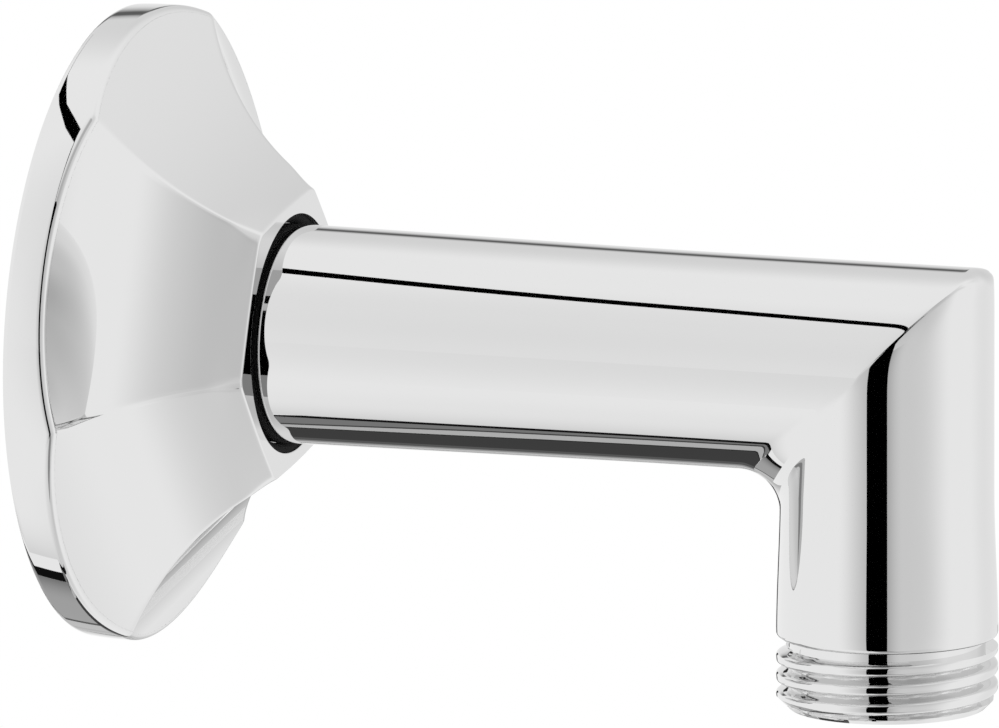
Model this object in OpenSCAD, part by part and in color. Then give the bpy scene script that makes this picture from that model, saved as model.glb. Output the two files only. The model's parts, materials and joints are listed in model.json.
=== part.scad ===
// Wall outlet elbow for a shower hose.
// The tube runs out of the wall along +X and the leg hangs down along -Z.
// The origin is on the tube's axis, in the plane of the finished wall.

/* [Elbow] */
// From the wall to the axis of the leg
projection = 77.5; // [65:0.5:120]
// From the tube's axis down to the end of the outlet
drop = 32.1; // [30:0.1:60]
// Outside diameter of tube and leg where they meet
tube_d = 20.24; // [19:0.02:28]
// How much wider the tube is at the wall, and the leg above its thread
flare = 0.76; // [0.1:0.02:3]
// Tube length over which it widens towards the wall
tube_flare_run = 54; // [20:1:60]
// Leg length over which it widens towards the outlet
leg_flare_run = 14; // [6:0.5:16]
// Diameter of the waterway
waterway_d = 13; // [8:0.5:14]
// Radius in the elbow's inner corner
inner_radius = 4.3; // [2:0.1:6]
// Radius on the elbow's outer corner
outer_radius = 1.8; // [0.5:0.1:4]

/* [Threads] */
// Outside diameter of both pipe threads
thread_d = 20.955; // [16:0.005:22]
// Depth of the thread, from crest to root
thread_depth = 1.162; // [0.8:0.001:1.5]
// How far the inlet thread reaches behind the wall
inlet_reach = 8; // [5:0.5:20]
// Length of the inlet thread
inlet_thread = 12; // [8:0.5:18]
// Length of the outlet thread
outlet_thread = 5.8; // [5:0.1:12]
// Width of the relief groove between a thread and its shoulder
relief = 1; // [0.5:0.1:2]
// Bevel on the shoulder above the outlet thread
shoulder_bevel = 0.5; // [0.2:0.1:1]
// Bevel at the end of each thread
end_bevel = 1.15; // [0.5:0.05:1.5]

/* [Rosette] */
// Diameter of the round rim at the wall
rosette_d = 61; // [55:0.5:90]
// From the wall to the flat front of the neck
rosette_h = 17.5; // [14:0.1:24]
// Height of the rim in the middle of each of the six sides
rim_h = 3.4; // [2.6:0.1:5]
// Wall of the six-sided neck around the bore, in the middle of a flat
neck_wall = 1.2; // [1:0.1:4]
// Radius of the hollow curve of each side, from rim to neck
side_radius = 25; // [22:0.5:60]
// Wall of the sides
rosette_wall = 1.8; // [1.2:0.1:2.2]
// Wall of the rim
rim_wall = 2.2; // [1.5:0.1:4]
// How far a corner of the neck is turned below the horizontal
rosette_turn = 10.8; // [0:0.1:60]
// Gap between the tube and the bore of the rosette
bore_gap = 0.95; // [0.6:0.05:1.1]
// Thickness of the lip in front of the rubber ring
lip = 0.55; // [0.4:0.05:1]
// Section of the rubber ring that grips the tube
ring_section = 1.84; // [1.6:0.02:2.1]
// Length of the boss behind the rubber ring
boss_back = 3; // [1:0.1:5]
// Wall of the boss around the rubber ring
boss_wall = 1.4; // [1:0.1:2]

/* [Non-return valve] */
// Diameter of the valve cartridge
valve_d = 15; // [13:0.5:16]
// Length of the cartridge
valve_len = 12; // [11:0.5:13]
// How deep the cartridge sits in the outlet
valve_recess = 3; // [2:0.1:5]
// Thickness of the seat plate
seat_plate = 2.6; // [2.4:0.1:3]
// Diameter of the hole in the seat plate
seat_d = 8.4; // [7:0.1:10]
// Wall of the cartridge
valve_wall = 1.1; // [0.8:0.1:1.5]
// Section of the cartridge's O-ring
o_ring_section = 1.2; // [1:0.1:1.4]
// How far the poppet's head reaches past the edge of the seat
seat_overlap = 0.8; // [0.4:0.1:1.2]
// Thickness of the poppet's rubber ring
seal_t = 0.9; // [0.7:0.1:1.2]
// Thickness of the poppet's head
head_t = 1.5; // [1:0.1:2]
// Diameter of the poppet's stem
stem_d = 2.5; // [2:0.1:3]
// Width of the poppet's rubber ring
seal_width = 2; // [1:0.1:2.5]
// Bevel at the end of the stem
stem_bevel = 0.3; // [0.1:0.1:0.6]
// How far the stem stands out of the guide
stem_out = 0.4; // [0:0.1:0.8]
// Thickness of the guide
guide_t = 2; // [1.5:0.1:2.4]
// Wall of the guide's ring
guide_wall = 0.8; // [0.6:0.1:1.2]
// Wall of the guide's hub around the stem
hub_wall = 1.2; // [1:0.1:1.4]
// Width of the guide's three arms
arm_w = 1.2; // [1:0.1:1.6]
// Thickness of the lip that keeps the guide in
keeper = 0.3; // [0.2:0.05:0.5]
// Wire of the spring
wire_d = 0.4; // [0.3:0.05:0.45]
// Turns of the spring
spring_turns = 4; // [3:0.5:5]
// Gap between the stem and the spring
spring_gap = 0.5; // [0.3:0.1:0.6]

/* [Clearances] */
// Radial gap of pieces that slide or turn on each other
running = 0.03; // [0.02:0.01:0.08]
// Radial gap of pieces that are put together once
seated = 0.02; // [0.01:0.01:0.05]

/* [Hidden] */
$fn = 128;
chrome = [0.83, 0.84, 0.86];
rubber = [0.07, 0.07, 0.07];
plastic = [0.9, 0.9, 0.88];
steel = [0.6, 0.6, 0.62];
// A cut runs this much past the face that it opens
past = 1;
// Longer than the part in every direction
reach = 400;

tube_r = tube_d / 2;
end_r = tube_r + flare / 2;
// The ball that rolls in the inner corner meets the tube and the leg this far from the mitre
ball_r = tube_r + inner_radius;
flare_start = projection - ball_r - tube_flare_run;
thread_r = thread_d / 2;
root_r = thread_r - thread_depth;
inlet_end = -inlet_reach;
inlet_top = inlet_end + inlet_thread;
outlet_end = -drop;
outlet_top = outlet_end + outlet_thread;
shoulder_z = outlet_top + relief;

rim_r = rosette_d / 2;
bore_r = end_r + bore_gap;
neck_r = bore_r + neck_wall;
ring_in_r = end_r + running;
ring_mid_r = ring_in_r + ring_section / 2;
groove_r = ring_in_r + ring_section + running;
groove_front = rosette_h - lip;
groove_back = groove_front - ring_section - 2 * running;
ring_x = (groove_front + groove_back) / 2;
boss_r = groove_r + boss_wall;
// Middle of the chord of a side's curve, and the centre of the curve beyond it
chord = [rim_r - neck_r, rim_h - rosette_h];
chord_len = norm(chord);
chord_mid = [(rim_r + neck_r) / 2, (rim_h + rosette_h) / 2];
chord_to_centre = sqrt(side_radius * side_radius - chord_len * chord_len / 4);
side_centre = chord_mid + chord_to_centre * [-chord[1], chord[0]] / chord_len;

pocket_r = valve_d / 2 + seated;
pocket_top = outlet_end + valve_recess + valve_len;
seat_z = pocket_top - seat_plate;
head_top = seat_z - seal_t;
head_bottom = head_top - head_t;
housing_end = pocket_top - valve_len;
guide_bottom = housing_end + keeper;
guide_top = guide_bottom + guide_t;
chamber_r = valve_d / 2 - valve_wall;
hub_r = stem_d / 2 + hub_wall;
spring_r = stem_d / 2 + wire_d / 2 + spring_gap;
head_r = seat_d / 2 + seat_overlap;
seal_in_r = head_r - seal_width;

// Smooth step from 0 to 1
function ease(t) = (1 - cos(180 * min(max(t, 0), 1))) / 2;

// The tube is widest at the wall and slims down towards the elbow
function tube_at(x) = tube_r + flare / 2 * ease(1 - (x - flare_start) / tube_flare_run);

// The leg widens towards its thread
function leg_at(z) = tube_r + flare / 2 * ease((shoulder_z + leg_flare_run - z) / leg_flare_run);

module along_x() {
  rotate([0, 90, 0]) children();
}

// Half space on the tube's side of the mitre, as a wedge
module tube_side() {
  rotate([90, 0, 0])
    linear_extrude(height = reach, center = true)
      polygon([
        [projection - reach, -reach],
        [projection + reach, reach],
        [projection - reach, reach]
      ]);
}

module tube_arm() {
  steps = 14;
  flare_points = [
    for (i = [0 : steps])
      let (x = flare_start + i * tube_flare_run / steps) [tube_at(x), x]
  ];
  along_x()
    rotate_extrude()
      polygon(concat(
        [
          [0, inlet_end],
          [thread_r - end_bevel, inlet_end],
          [thread_r, inlet_end + end_bevel],
          [thread_r, inlet_top],
          [root_r, inlet_top],
          [root_r, inlet_top + relief],
          [end_r, inlet_top + relief]
        ],
        flare_points,
        [[tube_r, projection + reach], [0, projection + reach]]
      ));
}

module leg_arm() {
  steps = 8;
  run_start = shoulder_z + leg_flare_run;
  flare_points = [
    for (i = [0 : steps - 1])
      let (z = run_start - i * leg_flare_run / steps) [leg_at(z), z]
  ];
  translate([projection, 0, 0])
    rotate_extrude()
      polygon(concat(
        [[0, reach], [tube_r, reach]],
        flare_points,
        [
          [end_r, shoulder_z + shoulder_bevel],
          [end_r - shoulder_bevel, shoulder_z],
          [root_r, shoulder_z],
          [root_r, outlet_top],
          [thread_r, outlet_top],
          [thread_r, outlet_end + end_bevel],
          [thread_r - end_bevel, outlet_end],
          [0, outlet_end]
        ]
      ));
}

// Fillet in the inner corner: the path of a ball that rolls against tube and leg.
// Each section has an arc between the two contacts and one point inside the metal.
module inner_corner() {
  sections = 24;
  arc = 5;
  first = -168;
  last = -12;
  sink = 0.05;
  core_depth = 1.5;
  core_r = tube_r - core_depth;
  points = [
    for (s = [0 : sections])
      let (
        a = first + s * (last - first) / sections,
        ball = [projection + ball_r * sin(a), -ball_r * cos(a), ball_r * sin(a)],
        to_tube = [0, cos(a), -sin(a)],
        to_leg = [-sin(a), cos(a), 0],
        spread = acos(to_tube * to_leg)
      )
      for (k = [0 : arc + 1])
        k > arc
          ? [projection + core_r * sin(a), -core_r * cos(a), core_r * sin(a)]
          : ball + (inner_radius + sink)
              * (sin(spread * (1 - k / arc)) * to_tube + sin(spread * k / arc) * to_leg) / sin(spread)
  ];
  ring = arc + 2;
  walls = [
    for (s = [0 : sections - 1])
      for (k = [0 : ring - 1])
        let (n = (k + 1) % ring, a = s * ring, b = a + ring)
          for (side = [0, 1])
            side == 0 ? [a + k, b + k, b + n] : [a + k, b + n, a + n]
  ];
  first_cap = [[for (k = [0 : ring - 1]) k]];
  last_cap = [[for (k = [0 : ring - 1]) sections * ring + ring - 1 - k]];
  polyhedron(points = points, faces = concat(walls, first_cap, last_cap), convexity = 4);
}

// Everything but what lies outside the rounded outer corner
module corner_block() {
  far = projection + tube_r;
  rotate([90, 0, 0])
    linear_extrude(height = reach, center = true)
      union() {
        translate([far - outer_radius, tube_r - outer_radius])
          circle(r = outer_radius);
        translate([-reach, -reach])
          square([reach + far - outer_radius, reach + tube_r]);
        translate([-reach, -reach])
          square([reach + far, reach + tube_r - outer_radius]);
        // The flared ends are wider than the corner
        translate([-reach, -reach])
          square([reach + projection - tube_r, 2 * reach]);
        translate([-reach, -reach])
          square([2 * reach, reach - tube_r]);
      }
}

// Two drilled holes that meet in the bend, and the pocket of the valve
module waterway() {
  along_x()
    translate([0, 0, inlet_end - past])
      cylinder(d = waterway_d, h = projection - inlet_end + past);
  translate([projection, 0, outlet_end - past])
    cylinder(d = waterway_d, h = past - outlet_end);
  translate([projection, 0, outlet_end - past])
    cylinder(r = pocket_r, h = pocket_top - outlet_end + past);
}

// One casting: tube, mitred elbow, leg and both pipe threads at crest size
module elbow() {
  color(chrome)
    difference() {
      intersection() {
        union() {
          intersection() {
            tube_arm();
            tube_side();
          }
          difference() {
            leg_arm();
            tube_side();
          }
          inner_corner();
        }
        corner_block();
      }
      waterway();
    }
}

// The six hollow-curved sides; grow moves each surface inwards
module side_cutters(grow) {
  for (side = [0 : 5])
    rotate(rosette_turn - 120 - 60 * side)
      translate([side_centre[0], 0, side_centre[1]])
        rotate([90, 0, 0])
          cylinder(r = side_radius + grow, h = 3 * rosette_d, center = true);
}

// Round rim at the wall that flows into a six-sided neck, hollow behind
module rosette() {
  color(chrome)
    along_x()
      difference() {
        cylinder(r = rim_r, h = rosette_h);
        side_cutters(0);
        difference() {
          translate([0, 0, -past])
            cylinder(r = rim_r - rim_wall, h = rosette_h);
          side_cutters(rosette_wall);
          translate([0, 0, groove_back - boss_back])
            cylinder(r = boss_r, h = rosette_h);
        }
        translate([0, 0, -past])
          cylinder(r = bore_r, h = rosette_h + 2 * past);
        translate([0, 0, groove_back])
          cylinder(r = groove_r, h = groove_front - groove_back);
      }
}

// Rubber ring in the groove of the rosette, gripping the tube
module rosette_ring() {
  color(rubber)
    translate([ring_x, 0, 0])
      along_x()
        rotate_extrude()
          translate([ring_mid_r, 0])
            circle(d = ring_section, $fn = 48);
}

module down_the_leg() {
  translate([projection, 0, 0]) children();
}

// Cartridge with the seat plate on top and a lip that keeps the guide in
module valve_housing() {
  groove_floor = pocket_r - o_ring_section - running;
  groove_h = o_ring_section + 2 * running;
  groove_z = pocket_top - (seat_plate + groove_h) / 2;
  color(plastic)
    down_the_leg()
      difference() {
        translate([0, 0, housing_end])
          cylinder(d = valve_d, h = valve_len);
        translate([0, 0, seat_z - past])
          cylinder(d = seat_d, h = seat_plate + 2 * past);
        translate([0, 0, guide_bottom])
          cylinder(r = chamber_r, h = seat_z - guide_bottom);
        translate([0, 0, housing_end - past])
          cylinder(r = chamber_r - keeper, h = keeper + 2 * past);
        translate([0, 0, groove_z])
          difference() {
            cylinder(d = valve_d + past, h = groove_h);
            translate([0, 0, -past])
              cylinder(r = groove_floor, h = groove_h + 2 * past);
          }
      }
}

module valve_o_ring() {
  color(rubber)
    down_the_leg()
      translate([0, 0, pocket_top - seat_plate / 2])
        rotate_extrude()
          translate([pocket_r - seated - o_ring_section / 2, 0])
            circle(d = o_ring_section, $fn = 32);
}

// Head, cone that turns the flow, and stem in the guide
module valve_poppet() {
  tip_r = 1;
  stem_end = guide_bottom - stem_out;
  color(plastic)
    down_the_leg()
      rotate_extrude()
        polygon([
          [0, stem_end],
          [stem_d / 2 - stem_bevel, stem_end],
          [stem_d / 2, stem_end + stem_bevel],
          [stem_d / 2, head_bottom],
          [head_r, head_bottom],
          [head_r, head_top],
          [seal_in_r, head_top],
          [seal_in_r, seat_z],
          [tip_r, pocket_top],
          [0, pocket_top]
        ]);
}

module poppet_seal() {
  color(rubber)
    down_the_leg()
      rotate_extrude()
        polygon([
          [seal_in_r + seated, head_top],
          [head_r, head_top],
          [head_r, seat_z],
          [seal_in_r + seated, seat_z]
        ]);
}

// Ring with three arms and a hub that guides the stem
module valve_guide() {
  ring_r = chamber_r - seated;
  color(plastic)
    down_the_leg()
      translate([0, 0, guide_bottom])
        linear_extrude(height = guide_t)
          difference() {
            union() {
              difference() {
                circle(r = ring_r);
                circle(r = ring_r - guide_wall);
              }
              circle(r = hub_r);
              for (arm = [0 : 2])
                rotate(60 + 120 * arm)
                  translate([(stem_d + hub_wall) / 2, -arm_w / 2])
                    square([ring_r - (guide_wall + stem_d + hub_wall) / 2, arm_w]);
            }
            circle(d = stem_d + 2 * running);
          }
}

// Compression spring between the poppet's head and the guide's hub
module valve_spring() {
  sides = 8;
  per_turn = 20;
  wire_r = wire_d / 2;
  low = guide_top + wire_r;
  high = head_bottom - wire_r;
  rings = round(spring_turns * per_turn);
  points = [
    for (i = [0 : rings])
      let (
        a = 360 * i / per_turn,
        z = low + (high - low) * i / rings
      )
      for (k = [0 : sides - 1])
        let (b = 360 * k / sides, r = spring_r + wire_r * cos(b))
          [r * cos(a), r * sin(a), z + wire_r * sin(b)]
  ];
  walls = [
    for (i = [0 : rings - 1])
      for (k = [0 : sides - 1])
        let (n = (k + 1) % sides, a = i * sides, b = a + sides)
          for (half = [0, 1])
            half == 0 ? [a + k, a + n, b + n] : [a + k, b + n, b + k]
  ];
  first_cap = [[for (k = [0 : sides - 1]) sides - 1 - k]];
  last_cap = [[for (k = [0 : sides - 1]) rings * sides + k]];
  color(steel)
    down_the_leg()
      polyhedron(points = points, faces = concat(walls, first_cap, last_cap), convexity = 8);
}

elbow();
rosette();
rosette_ring();
valve_housing();
valve_o_ring();
valve_poppet();
poppet_seal();
valve_spring();
valve_guide();
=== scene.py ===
"""A chrome wall outlet elbow for a shower hose, in a white studio."""
import json
import math

import bmesh
import bpy
from mathutils import Matrix, Vector


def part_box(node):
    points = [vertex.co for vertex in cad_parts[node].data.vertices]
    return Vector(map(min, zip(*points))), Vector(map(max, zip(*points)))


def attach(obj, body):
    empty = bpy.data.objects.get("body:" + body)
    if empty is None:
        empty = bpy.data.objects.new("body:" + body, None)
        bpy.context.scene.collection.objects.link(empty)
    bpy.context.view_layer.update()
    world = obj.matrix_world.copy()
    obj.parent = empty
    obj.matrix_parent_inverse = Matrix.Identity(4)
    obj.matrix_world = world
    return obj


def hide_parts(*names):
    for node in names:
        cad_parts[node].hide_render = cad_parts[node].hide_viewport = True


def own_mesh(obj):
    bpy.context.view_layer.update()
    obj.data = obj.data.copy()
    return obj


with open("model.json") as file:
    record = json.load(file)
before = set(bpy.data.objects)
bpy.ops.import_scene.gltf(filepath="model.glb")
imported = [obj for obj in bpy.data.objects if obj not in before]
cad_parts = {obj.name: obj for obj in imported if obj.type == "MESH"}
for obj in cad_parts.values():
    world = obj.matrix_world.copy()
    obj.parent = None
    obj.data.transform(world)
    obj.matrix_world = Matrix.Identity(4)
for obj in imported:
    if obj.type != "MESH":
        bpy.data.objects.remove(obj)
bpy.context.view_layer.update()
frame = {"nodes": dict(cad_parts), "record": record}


# ELBOW
# One brass casting: the tube out of the wall, the mitred bend and the leg, with a male G 1/2
# thread at each end. It is turned at both ends, polished by hand and chrome plated, so the
# mitre's outer edge is a little soft, most of all at the sides where the wheel ran over it.
MM = 0.001
mounts = {m["name"]: m for m in frame["record"]["mounts"]}
elbow_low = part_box("elbow")[0]
leg_x = mounts["hose_thread"]["pos_m"][0]
inlet_end = elbow_low.x
outlet_end = elbow_low.z

# Tube and leg are slimmest at the bend and flare towards the wall and the outlet's shoulder.
tube_r = 10.12 * MM
flared_r = 10.50 * MM
tube_flare = 54 * MM
leg_flare = 14 * MM
shoulder_z = outlet_end + 6.8 * MM
shoulder_round = 0.5 * MM

# The bend reaches this far along both axes. Its outer edge is crisp at the sides and rounded on
# top, which begins that many degrees above the axis. The flanks beside it are worn, and each
# has its depth and its reach.
bend_reach = 4.5 * MM
inner_round = 4.3 * MM
mitre_edge = 0.12 * MM
top_edge = 1.8 * MM
TOP_FROM_DEG = 62
TOP_BLEND_DEG = 22
WEAR_BLEND_DEG = 10
worn_leg, leg_reach = 0.38 * MM, 0.9 * MM
worn_tube, tube_reach = 0.08 * MM, 0.55 * MM

# Threads, bores and the pocket that holds the valve.
THREAD_PITCH = 1.8143 * MM
THREAD_DEPTH = 1.162 * MM
thread_r = mounts["hose_thread"]["dims"]["r_mm"] * MM
root_r = thread_r - THREAD_DEPTH
outlet_top = outlet_end + 5.8 * MM
outlet_crest_z = -26.98 * MM
inlet_top = inlet_end + 12 * MM
inlet_shoulder = inlet_top + 1 * MM
end_bevel = 1.15 * MM
run_out = 0.01 * MM
water_r = 6.5 * MM
pocket_r = 7.52 * MM
pocket_top = outlet_end + 15 * MM
bore_bevel = 0.3 * MM

ELBOW_SIDES = 192
ROWS_PER_PITCH = 20
TUBE_ROWS = 36
BEND_ROWS = 40
BEND_CROWDING = 2.2
LEG_ROWS = 22
SHOULDER_ROWS = 6
ELBOW_SHARP_DEG = 32


def ease(t):
    """Smooth step from 0 to 1."""
    t = min(max(t, 0.0), 1.0)
    return t * t * (3 - 2 * t)


def start_piece(name, turns, place):
    """A new piece in edit mode: one ring of points, each with its own turn round the axis."""
    bpy.ops.object.select_all(action="DESELECT")
    bpy.ops.mesh.primitive_circle_add(vertices=len(turns), radius=1)
    piece = bpy.context.object
    piece.name = name
    piece.data.name = name
    bpy.ops.object.mode_set(mode="EDIT")
    mesh = bmesh.from_edit_mesh(piece.data)
    layer = mesh.verts.layers.float.new("turn")
    for v, turn in zip(mesh.verts, turns):
        v[layer] = turn
        v.co = place(turn)
    bmesh.update_edit_mesh(piece.data)
    bpy.ops.mesh.select_all(action="SELECT")
    return piece


def draw_on(piece, turns, places):
    """Extrudes the selected ring once for each place, and sets each new point by its turn."""
    for place in places:
        bpy.ops.mesh.extrude_region_move()
        mesh = bmesh.from_edit_mesh(piece.data)
        mesh.verts.ensure_lookup_table()
        layer = mesh.verts.layers.float["turn"]
        for v in mesh.verts[-len(turns):]:
            v.co = place(v[layer])
        bmesh.update_edit_mesh(piece.data)


def close_piece(piece, sharp_deg):
    """Joins the last ring to the first, points all faces outwards and shades the piece."""
    bpy.ops.mesh.select_all(action="SELECT")
    bpy.ops.mesh.remove_doubles(threshold=1e-7)
    bpy.ops.mesh.normals_make_consistent(inside=False)
    bpy.ops.object.mode_set(mode="OBJECT")
    bpy.ops.object.shade_smooth_by_angle(angle=math.radians(sharp_deg))
    piece.data.attributes.remove(piece.data.attributes["turn"])


def on_tube(radius, x):
    """Ring round the tube's axis at x. Its turn counts from the front upwards."""
    return lambda turn: Vector((x, -radius * math.cos(turn), radius * math.sin(turn)))


def on_leg(radius, z):
    """Ring round the leg's axis at height z. Its turn counts from the front to the right."""
    return lambda turn: Vector((leg_x + radius * math.sin(turn), -radius * math.cos(turn), z))


def leg_radius(z):
    """The leg's radius at height z."""
    return tube_r + (flared_r - tube_r) * ease((shoulder_z + leg_flare - z) / leg_flare)


def outer_bend(turn, along):
    """Point near the mitre's outer edge, with its flanks worn down by the polishing wheel."""
    s = along * bend_reach
    up = 90 - abs(math.degrees(turn) % 360 - 90)
    on_top = ease((up - TOP_FROM_DEG) / TOP_BLEND_DEG)
    edge = mitre_edge + (top_edge - mitre_edge) * on_top
    arc = (min(max(s / edge, -1), 1) + 1) * math.pi / 4
    worn = ease(up / WEAR_BLEND_DEG) * (1 - on_top)
    fade = (1 - abs(along)) ** 2
    ends = 1 - along ** 2
    sunk_x = worn_leg * worn * (fade if s < 0 else math.exp(-s / leg_reach) * ends)
    sunk_z = worn_tube * worn * (fade if s > 0 else math.exp(s / tube_reach) * ends)
    corner = tube_r * math.sin(turn)
    return Vector((
        leg_x + corner - edge * (1 - math.sin(arc)) - max(-s - edge, 0) - sunk_x,
        -tube_r * math.cos(turn),
        corner - edge * (1 - math.cos(arc)) - max(s - edge, 0) - sunk_z,
    ))


def inner_bend(turn, along):
    """Point near the inner corner: on the ball that rolls there, or past it on tube or leg."""
    below = -math.sin(turn)
    side = math.cos(turn)
    spread = math.acos(side ** 2)
    arc = inner_round * spread
    s = along * (bend_reach - inner_round * below + arc / 2)
    if abs(s) < arc / 2:
        part = 0.5 + s / arc
        to_tube = Vector((0, side, below)) * math.sin(spread * (1 - part))
        to_leg = Vector((below, side, 0)) * math.sin(spread * part)
        ball = Vector((-below, -side, -below)) * (tube_r + inner_round)
        return Vector((leg_x, 0, 0)) + ball + (to_tube + to_leg) * inner_round / math.sin(spread)
    back = abs(s) - arc / 2 + (inner_round + tube_r) * below
    if s < 0:
        return Vector((leg_x - back, -tube_r * side, -tube_r * below))
    return Vector((leg_x - tube_r * below, -tube_r * side, -back))


def on_bend(along):
    """Ring in the bend: -1 is on the tube, 0 on the mitre and 1 on the leg."""
    def place(turn):
        bend = inner_bend if math.sin(turn) < 0 else outer_bend
        point = bend(turn, along)
        wider = leg_radius(point.z) / tube_r
        return Vector((leg_x + (point.x - leg_x) * wider, point.y * wider, point.z))
    return place


def below_bend(part):
    """Ring on the leg: part 0 ends the bend and part 1 is just above the shoulder."""
    def place(turn):
        top = tube_r * math.sin(turn) - bend_reach
        z = top + (shoulder_z + shoulder_round - top) * part
        return on_leg(leg_radius(z), z)(turn)
    return place


def water_bend(turn):
    """Ring on the mitre of the two bores."""
    return Vector((
        leg_x + water_r * math.sin(turn),
        -water_r * math.cos(turn),
        water_r * math.sin(turn),
    ))


def thread_cut(along, turn):
    """How deep the thread's groove is, at a distance along the axis from the crest at turn 0."""
    phase = (along / THREAD_PITCH - turn / math.tau + 0.5) % 1 - 0.5
    return THREAD_DEPTH * (1 - math.cos(math.pi * (2 * phase) ** 2)) / 2


def bevelled(from_end):
    """Largest radius that the bevel leaves at that distance from the end of a thread."""
    return thread_r - max(end_bevel - from_end, 0)


def outlet_row(z):
    """Ring of the hose thread at height z."""
    def place(turn):
        radius = max(thread_r - thread_cut(z - outlet_crest_z, turn), root_r)
        return on_leg(min(radius, bevelled(z - outlet_end)), z)(turn)
    return place


def inlet_row(x):
    """Ring of the wall thread at x."""
    def place(turn):
        radius = max(thread_r - thread_cut(x - inlet_end, -turn), root_r)
        return on_tube(min(radius, bevelled(x - inlet_end)), x)(turn)
    return place


def steps(start, end, count):
    """That many values after start, up to end."""
    return [start + (end - start) * (i + 1) / count for i in range(count)]


flare_end = leg_x - tube_r - inner_round
flare_start = flare_end - tube_flare
round_elbow = [math.tau * i / ELBOW_SIDES for i in range(ELBOW_SIDES)]
elbow = start_piece("elbow_body", round_elbow, on_tube(thread_r - end_bevel, inlet_end))
inlet_rows = round((inlet_top - inlet_end) / THREAD_PITCH * ROWS_PER_PITCH)
draw_on(elbow, round_elbow, [inlet_row(x) for x in steps(inlet_end, inlet_top, inlet_rows)])
draw_on(elbow, round_elbow, [
    on_tube(root_r, inlet_top + run_out),
    on_tube(root_r, inlet_shoulder),
    on_tube(flared_r, inlet_shoulder),
])
draw_on(elbow, round_elbow, [
    on_tube(tube_r + (flared_r - tube_r) * ease((flare_end - x) / tube_flare), x)
    for x in [flare_start, *steps(flare_start, flare_end - 0.5 * MM, TUBE_ROWS)]
])
draw_on(elbow, round_elbow, [
    on_bend(math.copysign(abs(t) ** BEND_CROWDING, t)) for t in [-1, *steps(-1, 1, BEND_ROWS)]
])
draw_on(elbow, round_elbow, [below_bend(part) for part in steps(0, 1, LEG_ROWS)])
draw_on(elbow, round_elbow, [
    on_leg(
        flared_r - shoulder_round * (1 - math.cos(a)),
        shoulder_z + shoulder_round * (1 - math.sin(a)),
    )
    for a in steps(0, math.pi / 2, SHOULDER_ROWS)
])
draw_on(elbow, round_elbow, [on_leg(root_r, shoulder_z), on_leg(root_r, outlet_top + run_out)])
outlet_rows = round((outlet_top - outlet_end) / THREAD_PITCH * ROWS_PER_PITCH)
draw_on(elbow, round_elbow, [
    outlet_row(z) for z in [outlet_top, *steps(outlet_top, outlet_end, outlet_rows)]
])
draw_on(elbow, round_elbow, [
    on_leg(pocket_r + bore_bevel, outlet_end),
    on_leg(pocket_r, outlet_end + bore_bevel),
    on_leg(pocket_r, pocket_top),
    on_leg(water_r, pocket_top),
    water_bend,
    on_tube(water_r, inlet_end + bore_bevel),
    on_tube(water_r + bore_bevel, inlet_end),
    on_tube(thread_r - end_bevel, inlet_end),
])
close_piece(elbow, ELBOW_SHARP_DEG)


def linear(code):
    """A colour written as sRGB hex, as Blender's linear RGBA."""
    parts = [int(code[i:i + 2], 16) / 255 for i in (1, 3, 5)]
    return (*[p / 12.92 if p <= 0.04045 else ((p + 0.055) / 1.055) ** 2.4 for p in parts], 1)


def new_material(name):
    """An empty node material with its output, and the node tree to fill."""
    material = bpy.data.materials.new(name)
    material.use_nodes = True
    tree = material.node_tree
    tree.nodes.clear()
    return material, tree, tree.nodes.new("ShaderNodeOutputMaterial")


def add_node(tree, kind, links=None, **settings):
    """One node: its attributes by name, its input values by socket, and links into its sockets."""
    node = tree.nodes.new(kind)
    inputs = settings.pop("inputs", {})
    for key, value in settings.items():
        setattr(node, key, value)
    for key, value in inputs.items():
        node.inputs[key].default_value = value
    for key, source in (links or {}).items():
        tree.links.new(source, node.inputs[key])
    return node


def chrome_plate(name):
    """Bright chrome over polished brass.

    A hand-polished casting is never quite even: a slow swell of a few micrometres bends long
    reflections, and faint haze varies over the surface.
    """
    material, tree, output = new_material(name)
    coords = add_node(tree, "ShaderNodeTexCoord")
    haze = add_node(tree, "ShaderNodeTexNoise", {"Vector": coords.outputs["Object"]},
                    inputs={"Scale": 160.0, "Detail": 2.0})
    rough = add_node(tree, "ShaderNodeMapRange", {"Value": haze.outputs["Fac"]},
                     inputs={"To Min": 0.012, "To Max": 0.03})
    swell = add_node(tree, "ShaderNodeTexNoise", {"Vector": coords.outputs["Object"]},
                     inputs={"Scale": 90.0, "Detail": 1.0})
    bump = add_node(tree, "ShaderNodeBump", {"Height": swell.outputs["Fac"]},
                    inputs={"Strength": 0.15, "Distance": 0.00002})
    shader = add_node(tree, "ShaderNodeBsdfPrincipled",
                      {"Roughness": rough.outputs["Result"], "Normal": bump.outputs["Normal"]},
                      inputs={"Base Color": linear("#e6e6e6"), "Metallic": 1.0})
    tree.links.new(shader.outputs["BSDF"], output.inputs["Surface"])
    return material


chrome = chrome_plate("chrome_plate_on_brass")
elbow.data.materials.append(chrome)
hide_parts("elbow")
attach(elbow, "elbow")


# ROSETTE
# A pressed and polished cover, chrome plated: round at the wall and six-sided at its neck. Each
# side is hollow-curved, so the round rim rises to a soft point at each of the six ridges. A thin
# lip holds the rubber ring in. As photographed it leans 1.6 degrees on the tube.
rosette_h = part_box("rosette")[1].x
rosette_turn = math.radians(10.8)
neck_r = 12.65 * MM
side_radius = 25 * MM
shell_wall = 1.8 * MM

# The rim's wall is crowned a little, and rounded where it meets the sides.
rim_r = 30.5 * MM
rim_h = 3.6 * MM
rim_wall = 2.2 * MM
rim_back = -0.2 * MM
rim_foot = 0.12 * MM
rim_edge = 0.65 * MM
rim_crown = 41 * MM
rim_widest = 3.0 * MM

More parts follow.
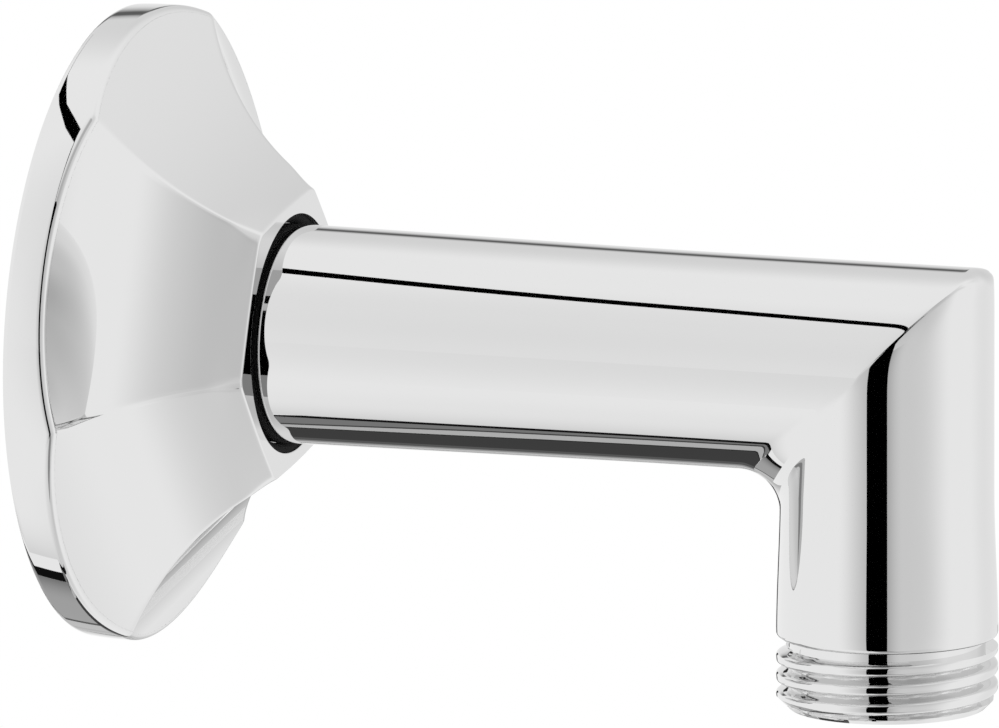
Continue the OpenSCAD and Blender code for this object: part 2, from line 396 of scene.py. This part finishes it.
# The ridges between the sides are a little soft, and softer close to the neck, where the
# corners are also drawn in.
soft_ridge = 0.5 * MM
soft_neck = 1.7 * MM
neck_bulge = 0.28 * MM
near_neck_width = 1.6 * MM

# The mouth with its lip, the groove for the rubber ring and the boss behind it.
bore_r = 11.45 * MM
lip = 0.55 * MM
groove_r = 12.40 * MM
groove_back = 15.05 * MM
boss_back = 12.05 * MM
boss_r = 13.80 * MM
face_edge = 0.18 * MM
mouth_edge = 0.15 * MM
flat_edge = 0.03 * MM

SIDE_POINTS = 36
RIDGE_CROWDING = 0.85
RIM_ROWS = 20
RIM_EDGE_ROWS = 12
SIDE_ROWS = 54
EDGE_ROWS = 5
SHELL_ROWS = 16
ROSETTE_SHARP_DEG = 40

chord = Vector((rim_r - neck_r, rim_h - rosette_h))
chord_to_centre = math.sqrt(side_radius ** 2 - chord.length_squared / 4)
side_centre = (
    Vector(((rim_r + neck_r) / 2, (rim_h + rosette_h) / 2))
    + Vector((-chord.y, chord.x)).normalized() * chord_to_centre
)


def side_height(q, sunk=0.0):
    """Height of a side over the wall at distance q from the axis, or that far sunk into it."""
    return side_centre.y - math.sqrt((side_radius + sunk) ** 2 - (q - side_centre.x) ** 2)


def off_middle(turn):
    """Angle between that turn and the middle of the nearest side."""
    sixth = math.tau / 6
    return (turn + rosette_turn) % sixth - sixth / 2


def across(q, turn, soft):
    """Radius of a six-sided section: sides at q from the axis, corners rounded by soft."""
    off = abs(off_middle(turn))
    soft = min(soft, q)
    if math.tan(off) * q <= (q - soft) * math.tan(math.pi / 6):
        return q / math.cos(off)
    to_corner = math.pi / 6 - off
    d = (q - soft) / math.cos(math.pi / 6)
    return d * math.cos(to_corner) + math.sqrt(soft ** 2 - (d * math.sin(to_corner)) ** 2)


def at(radius, x, turn):
    """Point at that radius and turn round the tube's axis."""
    return Vector((x, -radius * math.cos(turn), radius * math.sin(turn)))


def on_side(part, sunk=0.0, inner_r=None, outer_r=rim_r):
    """Ring on the sides: part 0 at the rim, part 1 at the neck.

    With an inner radius it is a ring inside the shell, which has plain ridges.
    """
    def place(turn):
        q_rim = outer_r * math.cos(off_middle(turn))
        q_neck = neck_r if inner_r is None else inner_r * math.cos(off_middle(turn))
        q = q_rim + (q_neck - q_rim) * part
        if inner_r is not None:
            return at(min(across(q, turn, 0), outer_r), side_height(q, sunk), turn)
        near_neck = 1 - ease((q - neck_r) / near_neck_width)
        radius = across(q, turn, soft_ridge + (soft_neck - soft_ridge) * near_neck)
        radius -= neck_bulge * near_neck * (off_middle(turn) / (math.pi / 6)) ** 2
        return at(min(radius, outer_r), side_height(q), turn)
    return place


def between(a, corner, b, t):
    """Ring that rounds the corner between two rings."""
    def place(turn):
        return a(turn) * (1 - t) ** 2 + corner(turn) * 2 * t * (1 - t) + b(turn) * t ** 2
    return place


def round_ring(radius, x):
    """Plain round ring at x."""
    return lambda turn: at(radius, x, turn)


def rim_wall_r(x):
    """The crowned rim's radius at x."""
    return rim_r - (x - rim_widest) ** 2 / (2 * rim_crown)


def rim_top(down):
    """Ring on the rim's wall, that far below its wavy top edge."""
    def place(turn):
        x = side_height(rim_r * math.cos(off_middle(turn))) - down
        return at(rim_wall_r(x), x, turn)
    return place


def rim_side(part):
    """Ring on the rim's wall: part 0 just above its foot and part 1 at its rounded top edge."""
    def place(turn):
        x = rim_back + rim_foot + (rim_top(rim_edge)(turn).x - rim_back - rim_foot) * part
        return at(rim_wall_r(x), x, turn)
    return place


def neck_front(inset):
    """Ring on the flat front, that far in from the six sides."""
    def place(turn):
        radius = across(neck_r - inset, turn, soft_neck - inset)
        return at(radius - neck_bulge * (off_middle(turn) / (math.pi / 6)) ** 2, rosette_h, turn)
    return place


# Only the outside and the inside of the shell lean. The bore, the groove and the boss stay
# upright, so that the rubber ring keeps its seat.
lean_down = Matrix.Rotation(math.radians(1.10), 4, "Y")
lean_back = Matrix.Rotation(math.radians(1.16), 4, "Z")
pushed_in = Matrix.Translation((-0.1 * MM, 0, 0))
mouth = Matrix.Translation((rosette_h, 0, 0))
leaning = pushed_in @ mouth @ lean_down @ lean_back @ mouth.inverted()


def askew(place):
    """The same ring, leaning."""
    return lambda turn: leaning @ place(turn)


# The points stand closer together towards the ridges.
side_turns = []
crowding = math.pi / 2 * RIDGE_CROWDING
for side in range(6):
    for i in range(SIDE_POINTS):
        s = 2 * i / SIDE_POINTS - 1
        crowd = math.sin(s * crowding) / math.sin(crowding)
        side_turns.append((side + 0.5 + crowd / 2) * math.tau / 6 - rosette_turn)

inset_rim = rim_edge / (rim_r - neck_r)
inset_neck = 1 - face_edge / (rim_r - neck_r)
rosette = start_piece("rosette_cover", side_turns, askew(round_ring(rim_r - rim_wall, rim_back)))
draw_on(rosette, side_turns, map(askew, [
    round_ring(rim_wall_r(rim_back) - rim_foot, rim_back),
    round_ring(rim_wall_r(rim_back) - rim_foot * 0.3, rim_back + rim_foot * 0.3),
    rim_side(0),
    *[rim_side(1 - (1 - part) ** 2) for part in steps(0, 1, RIM_ROWS)],
]))
draw_on(rosette, side_turns, map(askew, [
    between(rim_top(rim_edge), rim_top(0), on_side(inset_rim), t)
    for t in steps(0, 1, RIM_EDGE_ROWS)
]))
draw_on(rosette, side_turns, map(askew, [
    on_side(inset_rim + (inset_neck - inset_rim) * part)
    for part in [0.002, *[(1 - math.cos(math.pi * t)) / 2 for t in steps(0, 1, SIDE_ROWS)]]
]))
draw_on(rosette, side_turns, map(askew, [
    between(on_side(inset_neck), neck_front(0), neck_front(face_edge), t)
    for t in steps(0, 1, EDGE_ROWS)
]))
draw_on(rosette, side_turns, map(askew, [
    neck_front(face_edge + flat_edge),
    round_ring(bore_r + mouth_edge + flat_edge, rosette_h),
    *[
        round_ring(
            bore_r + mouth_edge * (1 - math.sin(a)),
            rosette_h - mouth_edge * (1 - math.cos(a)),
        )
        for a in [0, *steps(0, math.pi / 2, EDGE_ROWS)]
    ],
]))
draw_on(rosette, side_turns, [
    round_ring(bore_r, rosette_h - lip),
    round_ring(groove_r, rosette_h - lip),
    round_ring(groove_r, groove_back),
    round_ring(bore_r, groove_back),
    round_ring(bore_r, boss_back),
    round_ring(boss_r, boss_back),
])
inside_rim_r = rim_r - rim_wall
draw_on(rosette, side_turns, map(askew, [
    *[
        on_side(part, shell_wall, boss_r, inside_rim_r)
        for part in [1, *steps(1, 0, SHELL_ROWS)]
    ],
    round_ring(inside_rim_r, rim_back),
]))
close_piece(rosette, ROSETTE_SHARP_DEG)
rosette.data.materials.append(chrome)
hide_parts("rosette")
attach(rosette, "rosette")


# RUBBER RING
# A black nitrile O-ring behind the rosette's lip. It grips the tube, so that the rosette
# stays where it is pushed. Moulded rubber is matt, with a fine grain.
def moulded(name, grain_scale, grain_detail, darker, lighter, depth, finish):
    """A moulded material: two close tones and a slight relief, both by the same fine grain."""
    material, tree, output = new_material(name)
    coords = add_node(tree, "ShaderNodeTexCoord")
    grain = add_node(tree, "ShaderNodeTexNoise", {"Vector": coords.outputs["Object"]},
                     inputs={"Scale": grain_scale, "Detail": grain_detail})
    tone = add_node(tree, "ShaderNodeMix", {"Factor": grain.outputs["Fac"]}, data_type="RGBA")
    tone.inputs["A"].default_value = linear(darker)
    tone.inputs["B"].default_value = linear(lighter)
    bump = add_node(tree, "ShaderNodeBump", {"Height": grain.outputs["Fac"]},
                    inputs={"Strength": depth, "Distance": 0.00002})
    shader = add_node(tree, "ShaderNodeBsdfPrincipled",
                      {"Base Color": tone.outputs["Result"], "Normal": bump.outputs["Normal"]},
                      inputs=finish)
    tree.links.new(shader.outputs["BSDF"], output.inputs["Surface"])
    return material


def refinish(node, material):
    """Gives a CAD node that material in place of its packed one."""
    mesh = frame["nodes"][node].data
    mesh.materials.clear()
    mesh.materials.append(material)


rubber = moulded("moulded_nitrile_rubber", 2500.0, 3.0, "#050505", "#0a0a0b", 0.3,
                 {"Roughness": 0.75, "Specular IOR Level": 0.25})
for node in ("rosette_ring", "valve_o_ring", "poppet_seal"):
    refinish(node, rubber)


# VALVE
# The non-return cartridge in the outlet is moulded from white acetal, a waxy plastic with a
# faint satin grain.
acetal = moulded("moulded_acetal", 1200.0, 2.0, "#dddcd6", "#e6e5df", 0.2,
                 {"Roughness": 0.42, "IOR": 1.48})
for node in ("valve_housing", "valve_poppet", "valve_guide"):
    refinish(node, acetal)


# SPRING
# A coil of drawn stainless wire between the poppet's head and the guide, with its end turns
# wound closer. It is a piece of its own, fixed to the elbow.
wire_r = 0.2 * MM
spring_low, spring_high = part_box("valve_spring")
coil_r = (spring_high.y - spring_low.y) / 2 - wire_r
coil_height = spring_high.z - spring_low.z - 2 * wire_r
COIL_TURNS = 4
CLOSER_AT_ENDS = 0.8
WIRE_SIDES = 12
WIRE_ROWS = 160
WIRE_SHARP_DEG = 40


def wire_ring(radius, part):
    """Ring round the wire's middle at that part of its length."""
    angle = math.tau * COIL_TURNS * part
    rise = part - CLOSER_AT_ENDS * math.sin(math.tau * part) / math.tau

    def place(turn):
        out = coil_r + radius * math.cos(turn)
        height = spring_low.z + wire_r + coil_height * rise + radius * math.sin(turn)
        return Vector((leg_x + out * math.cos(angle), out * math.sin(angle), height))
    return place


def drawn_wire(name):
    """Drawn stainless steel, whose dies leave it unevenly dull."""
    material, tree, output = new_material(name)
    coords = add_node(tree, "ShaderNodeTexCoord")
    lines = add_node(tree, "ShaderNodeTexNoise", {"Vector": coords.outputs["Object"]},
                     inputs={"Scale": 4000.0, "Detail": 2.0})
    rough = add_node(tree, "ShaderNodeMapRange", {"Value": lines.outputs["Fac"]},
                     inputs={"To Min": 0.22, "To Max": 0.38})
    shader = add_node(tree, "ShaderNodeBsdfPrincipled", {"Roughness": rough.outputs["Result"]},
                      inputs={"Base Color": linear("#b9babb"), "Metallic": 1.0})
    tree.links.new(shader.outputs["BSDF"], output.inputs["Surface"])
    return material


round_wire = [math.tau * i / WIRE_SIDES for i in range(WIRE_SIDES)]
spring = start_piece("spring_coil", round_wire, wire_ring(0, 0))
draw_on(spring, round_wire, [wire_ring(wire_r, part) for part in [0, *steps(0, 1, WIRE_ROWS)]])
draw_on(spring, round_wire, [wire_ring(0, 1)])
close_piece(spring, WIRE_SHARP_DEG)
spring.data.materials.append(drawn_wire("drawn_stainless_wire"))
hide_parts("valve_spring")
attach(spring, "elbow")
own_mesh(spring)


# CAMERA
# A long lens, as for a catalogue picture, at the photograph's angle and distance.
camera_data = bpy.data.cameras.new("camera")
camera = bpy.data.objects.new("camera", camera_data)
bpy.context.scene.collection.objects.link(camera)
camera_data.sensor_width = 36
camera_data.lens = 540.54
camera_data.clip_end = 20
camera_right = Vector((0.93043, 0.36644, -0.00499))
camera_up = Vector((-0.05815, 0.16105, 0.98523))
camera_back = camera_right.cross(camera_up).normalized()
camera_place = Vector((553.47, -1304.52, 241.92)) * MM
camera.matrix_world = Matrix((
    (camera_right.x, camera_up.x, camera_back.x, camera_place.x),
    (camera_right.y, camera_up.y, camera_back.y, camera_place.y),
    (camera_right.z, camera_up.z, camera_back.z, camera_place.z),
    (0, 0, 0, 1),
))
bpy.context.scene.camera = camera


# STUDIO
# A tent of white cloth, lit from outside, with a pale table far below. The camera looks in
# through a slit that runs over the roof and widens in front, and chrome shows it as a black line.
scene = bpy.context.scene
scene.view_settings.view_transform = "Standard"
world = bpy.data.worlds.new("light_tent")
scene.world = world
world.use_nodes = True
tree = world.node_tree
tree.nodes.clear()
direction = add_node(tree, "ShaderNodeTexCoord").outputs["Generated"]

# The tent's walls, roof and table top, in millimetres like every card.
FRONT = -400
BACK = 600
ROOF = 300
TABLE = -300
WHITE = linear("#ffffff")


def darker_towards(light, azimuth_deg, elevation_deg, width_deg, amount):
    """Dims the tent smoothly round one direction; azimuth counts from the front to the right."""
    azimuth = math.radians(azimuth_deg)
    elevation = math.radians(elevation_deg)
    towards = (
        math.sin(azimuth) * math.cos(elevation),
        -math.cos(azimuth) * math.cos(elevation),
        math.sin(elevation),
    )
    facing = add_node(tree, "ShaderNodeVectorMath", {0: direction}, operation="DOT_PRODUCT",
                      inputs={1: towards})
    dimmed = add_node(tree, "ShaderNodeMapRange", {"Value": facing.outputs["Value"]},
                      interpolation_type="SMOOTHSTEP",
                      inputs={"From Min": math.cos(math.radians(width_deg)), "To Min": 1.0,
                              "To Max": 1 - amount})
    product = add_node(tree, "ShaderNodeMath", {0: dimmed.outputs["Result"]}, operation="MULTIPLY")
    if isinstance(light, float):
        product.inputs[1].default_value = light
    else:
        tree.links.new(light, product.inputs[1])
    return product.outputs[0]


# Each is the middle's azimuth and elevation, the width and how much darker.
cloth = 0.99
for dim in (
    (30, 1, 64, 0.28),
    (36, -64, 43, 0.16),
    (189, 26, 43, 0.22),
    (16, 41, 51, 0.15),
    (90, -74, 30, 0.14),
    (165, -10, 45, 0.09),
    (64, 16, 28, 0.06),
    (75, 45, 36, 0.2),
    (63, -42, 28, 0.15),
):
    cloth = darker_towards(cloth, *dim)
path = add_node(tree, "ShaderNodeLightPath")
white = add_node(tree, "ShaderNodeBackground", inputs={"Color": WHITE, "Strength": 1.0})
lit = add_node(tree, "ShaderNodeBackground", {"Strength": cloth}, inputs={"Color": WHITE})
backdrop = add_node(tree, "ShaderNodeMixShader", {
    0: path.outputs["Is Camera Ray"], 1: lit.outputs[0], 2: white.outputs[0]})
add_node(tree, "ShaderNodeOutputWorld", {"Surface": backdrop.outputs[0]})


def card(name, corners, shade, veil=0.0, power=2):
    """A flat card that only mirrors see: its four corners in millimetres and how bright it is.

    With a veil it is thin cloth instead, that dense at its first edge and gone at the second. It
    thins evenly with power 1, and sooner with power 2.
    """
    bpy.ops.object.select_all(action="DESELECT")
    bpy.ops.mesh.primitive_plane_add(size=1)
    sheet = bpy.context.object
    sheet.name = name
    for v, corner in zip(sheet.data.vertices, corners):
        v.co = Vector(corner) * MM
    material, tree, output = new_material(name)
    surface = add_node(tree, "ShaderNodeEmission", inputs={"Color": WHITE, "Strength": shade})
    if veil:
        uv = add_node(tree, "ShaderNodeTexCoord")
        across_card = add_node(tree, "ShaderNodeSeparateXYZ", {0: uv.outputs["UV"]})
        left = add_node(tree, "ShaderNodeMath", {1: across_card.outputs["X"]},
                        operation="SUBTRACT", inputs={0: 1.0})
        curve = add_node(tree, "ShaderNodeMath", {0: left.outputs[0]}, operation="POWER",
                         inputs={1: power})
        density = add_node(tree, "ShaderNodeMath", {0: curve.outputs[0]}, operation="MULTIPLY",
                           inputs={1: veil})
        clear = add_node(tree, "ShaderNodeBsdfTransparent")
        surface = add_node(tree, "ShaderNodeMixShader",
                           {0: density.outputs[0], 1: clear.outputs[0], 2: surface.outputs[0]})
    tree.links.new(surface.outputs[0], output.inputs["Surface"])
    sheet.data.materials.append(material)
    sheet.visible_camera = False
    sheet.visible_diffuse = False
    sheet.visible_shadow = False


def front(name, left, right, shade, veil=0.0):
    """Card in the tent's front wall, from the table to the level of the tube."""
    card(name, [(x, FRONT, z) for z in (TABLE, 0) for x in (left, right)], shade, veil)


def flat(name, near, far, z, shade, veil=0.0, power=2):
    """Level card at height z between two lines, each given by the two points at its ends."""
    card(name, [(x, y, z) for x, y in (near[0], far[0], near[1], far[1])], shade, veil, power)


def band(name, near, far, shade, veil=0.0, power=2, lift=0.0):
    """Card on the table between two lines."""
    flat(name, near, far, TABLE + lift, shade, veil, power)


def back(name, sides, first, second, shade, veil=0.0):
    """Strip on the tent's back wall between two sides and two heights."""
    card(name, [(x, BACK, z) for x in sides for z in (first, second)], shade, veil)


# The camera's slit, and grey cloth beside it.
front("slit_in_front", 69, 226, 0)
front("cloth_left_of_slit", 69, -200, 0, 0.2)
front("cloth_right_of_slit", 226, 380, 0, 0.36)
card("slit_above", [(69, FRONT, 0), (226, FRONT, 0), (50, FRONT, ROOF), (228, FRONT, ROOF)], 0)
flat("wide_slit_in_roof", [(50, FRONT), (228, FRONT)], [(-11, -270), (228, -270)], ROOF, 0)
flat("slit_in_roof", [(-11, -270), (12, -270)], [(-110, -60), (-91, -60)], ROOF, 0)
flat("slit_in_roof_bend", [(-110, -60), (-91, -60)], [(-129, 0), (-119, 0)], ROOF, 0)
flat("slit_in_roof_end", [(-129, 0), (-119, 0)], [(-200, 300), (-194, 300)], ROOF, 0)
flat("grey_cloth_in_roof", [(90, FRONT), (90, -60)], [(230, FRONT), (230, -60)], ROOF + 1, 0.52)
flat("grey_cloth_edge", [(90, FRONT), (90, -60)], [(0, FRONT), (0, -60)], ROOF + 1, 0, 0.45)

# Seams of the back wall.
back("back_seam", (-700, -120), 238, 285, 0.12)
back("shade_over_back_seam", (-700, -120), 285, 380, 0, 0.8)
back("shade_under_back_seam", (-700, -120), 238, 90, 0, 0.86)
card("corner_seam", [(x, BACK, z) for z in (TABLE, 60) for x in (-445, -330)], 0.03)

# The table: a dark front edge, then a grey top with lines and strips, and shade round it.
band("floor_on_the_right", [(110, FRONT), (260, FRONT)], [(110, -160), (260, -160)], 0.3)
band("table_front_edge", [(-94, -34), (60, -34)], [(-94, -16), (60, -16)], 0.006)
band("table_corner_edge", [(-94, -34), (-114, 4)], [(-94, -16), (-114, 33)], 0.006)
band("table_side_edge", [(-114, 4), (-400, 4)], [(-114, 33), (-400, 33)], 0.006)
band("shade_before_table", [(-400, -34), (0, -34)], [(-400, -160), (0, -160)], 0, 0.2)
band("table_grey", [(-106, -16), (-30, -16)], [(-106, 60), (-30, 60)], 0.217)
band("table_line_left", [(-106, 50), (-72, 9)], [(-106, 61), (-72, 20)], 0.06, lift=1)
band("table_line_right", [(-72, 9), (-30, -11)], [(-72, 20), (-30, 0)], 0.06, lift=1)
band("table_strip_left", [(-106, 61), (-72, 20)], [(-106, 80), (-72, 62)], 0.52, lift=1)
band("table_strip_right", [(-72, 20), (-30, 0)], [(-72, 62), (-30, 41)], 0.52, lift=1)
band("table_far_line", [(-106, 80), (-30, 41)], [(-106, 88), (-30, 51)], 0.027, lift=1)
band("table_dark", [(-112, 86), (-30, 46)], [(-147, 235), (-30, 235)], 0.057)
band("table_dark_end", [(-147, 235), (-30, 235)], [(-169, 310), (-30, 310)], 0.11)
band("table_end", [(-169, 310), (-30, 310)], [(-189, 365), (-30, 365)], 0.3)
band("shade_behind_table", [(-700, 365), (-30, 365)], [(-700, 900), (-30, 900)], 0, 0.5)
band("shade_far_behind", [(-240, 450), (-240, 1400)], [(60, 450), (60, 1400)], 0, 0.6, power=1)
band("table_side", [(-400, 33), (-102, 33)], [(-400, 250), (-151, 250)], 0.42)
band("shade_on_table_side", [(-400, 33), (-105, 33)], [(-400, 120), (-105, 120)], 0, 0.5, lift=2)
band("table_side_line", [(-400, 250), (-151, 250)], [(-400, 272), (-158, 272)], 0.12)
band("table_side_end", [(-400, 272), (-158, 272)], [(-400, 365), (-189, 365)], 0.6)

# The pale floor under it all, which mirrors don't see. It is clear from below.
bpy.ops.object.select_all(action="DESELECT")
bpy.ops.mesh.primitive_plane_add(size=1.6, location=(0, 0, -0.306))
floor = bpy.context.object
floor.name = "floor"
material, tree, output = new_material("pale_floor")
coords = add_node(tree, "ShaderNodeTexCoord")
mottle = add_node(tree, "ShaderNodeTexNoise", {"Vector": coords.outputs["Object"]},
                  inputs={"Scale": 8.0})
tone = add_node(tree, "ShaderNodeMix", {"Factor": mottle.outputs["Fac"]}, data_type="RGBA")
tone.inputs["A"].default_value = linear("#f4f4f4")
tone.inputs["B"].default_value = linear("#f8f8f8")
matt = add_node(tree, "ShaderNodeBsdfDiffuse", {"Color": tone.outputs["Result"]})
clear = add_node(tree, "ShaderNodeBsdfTransparent")
side = add_node(tree, "ShaderNodeNewGeometry")
surface = add_node(tree, "ShaderNodeMixShader", {
    0: side.outputs["Backfacing"], 1: matt.outputs[0], 2: clear.outputs[0]})
tree.links.new(surface.outputs[0], output.inputs["Surface"])
floor.data.materials.append(material)
floor.visible_glossy = False

# Two soft lamps for what is matt. Mirrors see the tent instead.
for name, place, watts in (
    ("lamp_left", (-0.3, -0.9, 0.8), 1.2),
    ("lamp_right", (0.9, -0.8, 0.6), 0.8),
):
    lamp_data = bpy.data.lights.new(name, "AREA")
    lamp_data.shape = "SQUARE"
    lamp_data.size = 0.8
    lamp_data.energy = watts
    lamp = bpy.data.objects.new(name, lamp_data)
    scene.collection.objects.link(lamp)
    lamp.location = place
    lamp.rotation_euler = Vector(place).to_track_quat("Z", "Y").to_euler()
    lamp.visible_glossy = False
